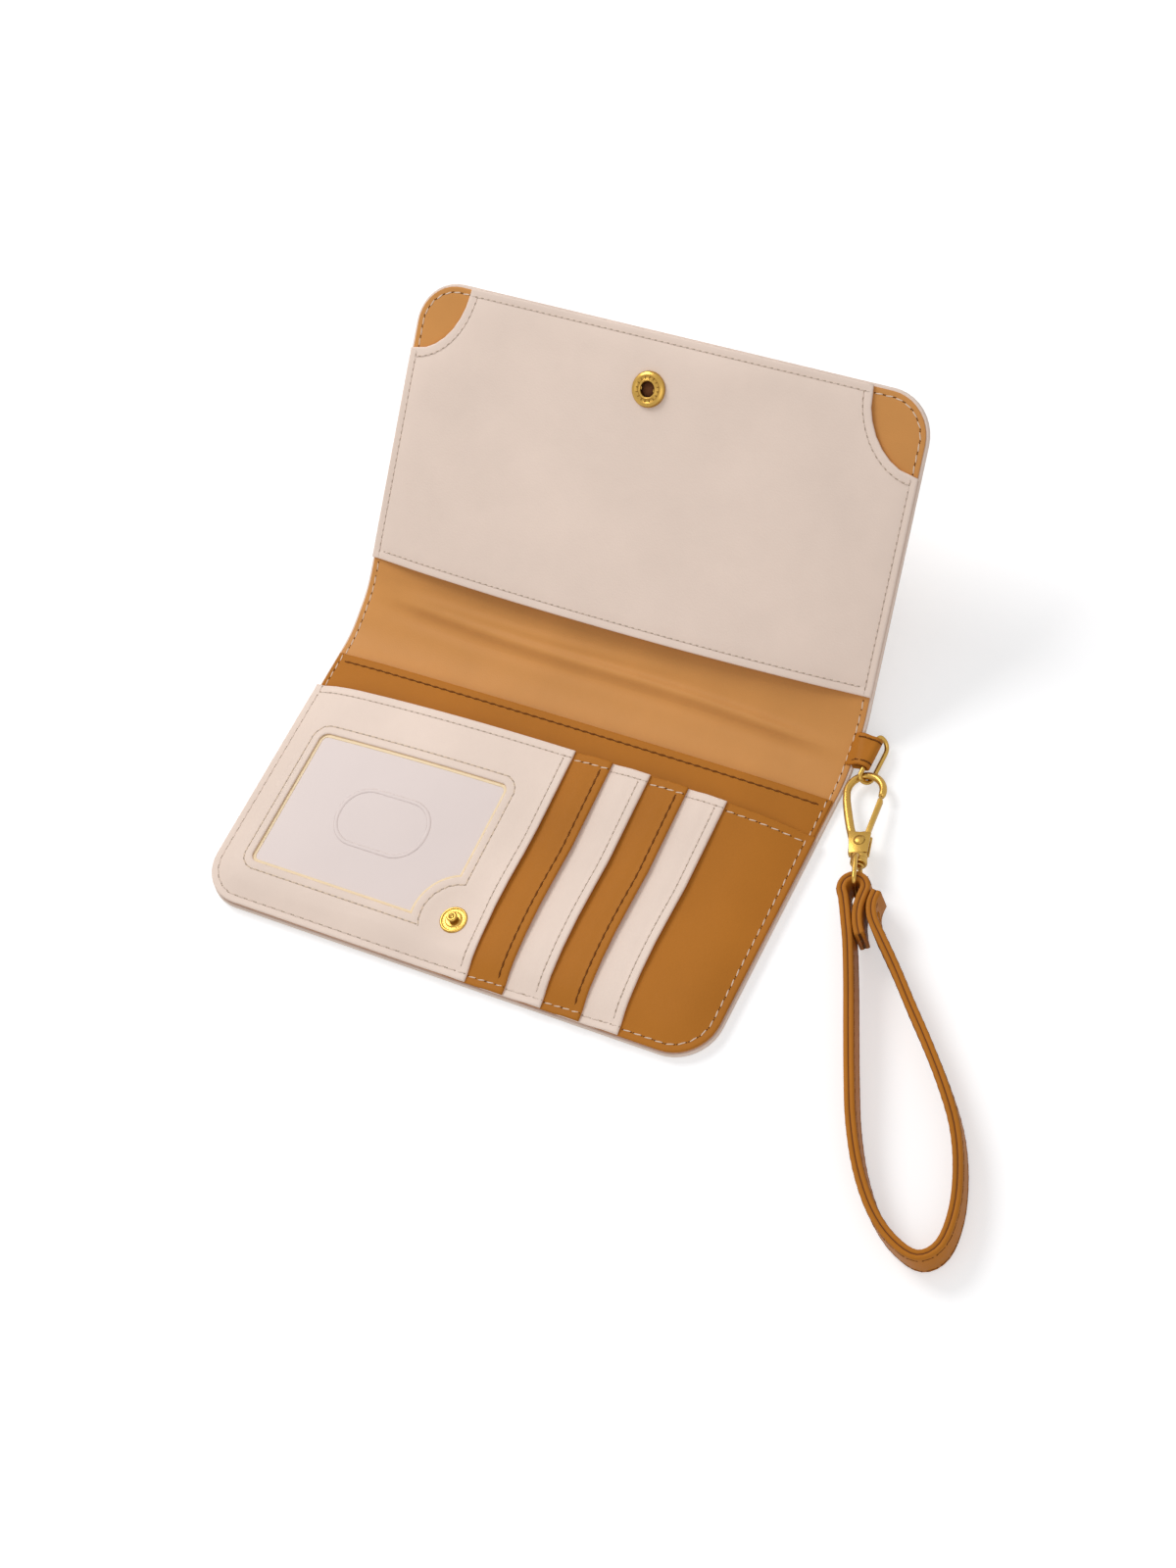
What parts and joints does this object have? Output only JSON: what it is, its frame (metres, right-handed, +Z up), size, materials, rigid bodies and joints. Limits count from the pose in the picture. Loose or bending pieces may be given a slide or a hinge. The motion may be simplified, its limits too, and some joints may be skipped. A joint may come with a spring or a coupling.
{
  "type": "long wallet",
  "caption": "Long wallet lying open, with a bill pocket, card slots, a clear identity window, a flap pocket, a ring snap and a wrist strap on a swivel hook.",
  "frame": {"origin": "middle of the front panel's underside, which the wallet rests on", "axes": "+X across the width to the strap's side, +Y from the free edge to the back fold, +Z up"},
  "size_m": [0.3021, 0.259, 0.0783],
  "materials": {
    "cream_leather": "fine pebbled grain, low sheen",
    "brown_leather": "pebbled grain, satin",
    "tan_lining": "smooth faux leather, creased",
    "stiffener": "raw card",
    "clear_window": "clear soft vinyl, embossed",
    "gold_metal": "polished, lightly worn"
  },
  "bodies": {
    "front_panel": {"cover_front": "cream_leather", "stiffener_front": "stiffener", "lining_front": "tan_lining", "bill_pocket": "brown_leather", "card_backing": "tan_lining", "id_backing": "cream_leather", "id_window": "clear_window", "id_panel": "cream_leather", "card_slot_1": "brown_leather", "card_slot_2": "cream_leather", "card_slot_3": "brown_leather", "card_slot_4": "cream_leather", "card_base": "brown_leather", "snap_stud": "gold_metal", "stud_rivet": "gold_metal"},
    "back": {"cover_back": "cream_leather", "lining_back": "tan_lining", "strap_tab": "brown_leather"},
    "flap": {"cover_flap": "cream_leather", "stiffener_flap": "stiffener", "lining_flap": "tan_lining", "flap_pocket": "cream_leather", "snap_socket": "gold_metal", "socket_spring": "gold_metal", "snap_cap": "gold_metal"},
    "ring": {"tab_ring": "gold_metal"},
    "hook": {"hook_body": "gold_metal", "hook_rivet": "gold_metal", "gate_spring": "gold_metal", "swivel_pin": "gold_metal"},
    "gate": {"hook_gate": "gold_metal"},
    "bail": {"swivel_bail": "gold_metal"},
    "strap": {"strap_outer": "brown_leather", "strap_inner": "brown_leather", "strap_tack": "brown_leather"}
  },
  "joints": [
    {"name": "fold_lower", "type": "hinge", "parent": "front_panel", "child": "back", "pos_m": [0, 0.0565, 0.0025], "axis": [1, 0, 0], "range_deg": [-19, 73.85]},
    {"name": "fold_upper", "type": "hinge", "parent": "back", "child": "flap", "pos_m": [0, 0.07305, 0.0082], "axis": [1, 0, 0], "range_deg": [-19, 73.85]},
    {"name": "ring_swing", "type": "hinge", "parent": "back", "child": "ring", "pos_m": [0.10455, 0.06557, 0.0062], "axis": [0, 1, 0], "range_deg": [-50, 4]},
    {"name": "hook_swing", "type": "hinge", "parent": "ring", "child": "hook", "pos_m": [0.10614, 0.05707, 0.00366], "axis": [0, 0, 1], "range_deg": [-5, 10]},
    {"name": "gate_open", "type": "hinge", "parent": "hook", "child": "gate", "pos_m": [0.11602, 0.03391, 0.00703], "axis": [-0.0463, 0.1119, 0.9926], "range_deg": [0, 20], "stiffness_Nm_per_rad": 0.02},
    {"name": "bail_turn", "type": "hinge", "parent": "hook", "child": "bail", "pos_m": [0.11868, 0.02749, 0.00788], "axis": [0.3799, -0.9171, 0.1211], "continuous": true},
    {"name": "strap_swing", "type": "hinge", "parent": "bail", "child": "strap", "pos_m": [0.12384, 0.01502, 0.00952], "axis": [0.0182, 0.1383, 0.9902], "range_deg": [-20, 20]}
  ],
  "couplings": [
    {"joint": "fold_upper", "follows": "fold_lower", "ratio": 1}
  ]
}
